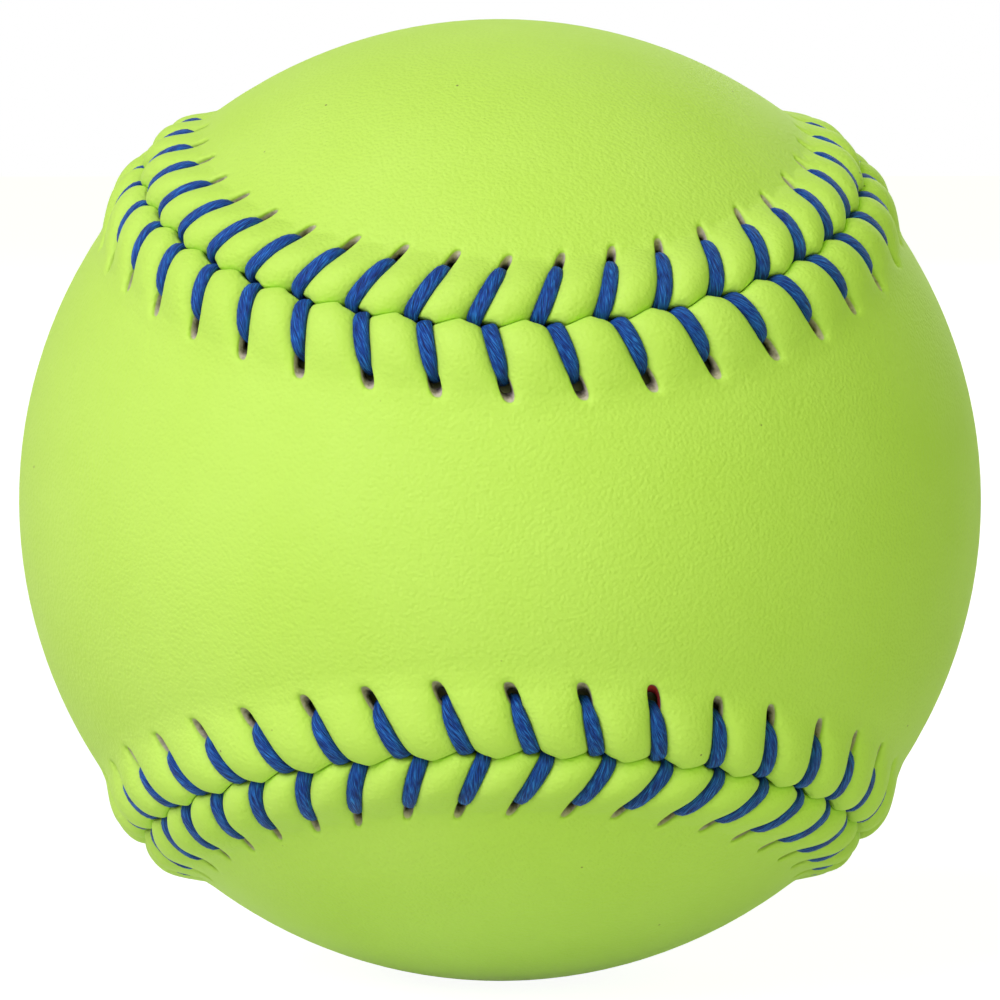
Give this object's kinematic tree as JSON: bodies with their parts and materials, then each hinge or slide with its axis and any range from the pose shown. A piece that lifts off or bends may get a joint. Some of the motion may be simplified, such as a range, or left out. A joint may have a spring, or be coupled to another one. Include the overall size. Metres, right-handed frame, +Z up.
{
  "type": "softball",
  "caption": "Softball with a smooth two-panel leather-like cover, raised puffed seams and contrasting V lacing over a moulded core.",
  "frame": {"origin": "centre of the ball", "axes": "+Z up; the front panel's neck faces -Y and its lobes lie at +X and -X; the rear panel's neck faces +Y and its lobes lie at +Z and -Z"},
  "size_m": [0.097, 0.097, 0.097],
  "materials": {
    "core": "moulded polyurethane, matt",
    "cement": "dried contact cement",
    "felt": "pressed felt backing",
    "cover": "optic yellow synthetic leather with a fine grain, satin",
    "lace": "blue multi-filament thread, flat in its legs"
  },
  "bodies": {
    "root": {"core": "core", "cement_film": "cement", "front_felt": "felt", "rear_felt": "felt", "front_cover": "cover", "rear_cover": "cover", "lace_thread_1": "lace", "lace_thread_2": "lace"}
  },
  "joints": []
}
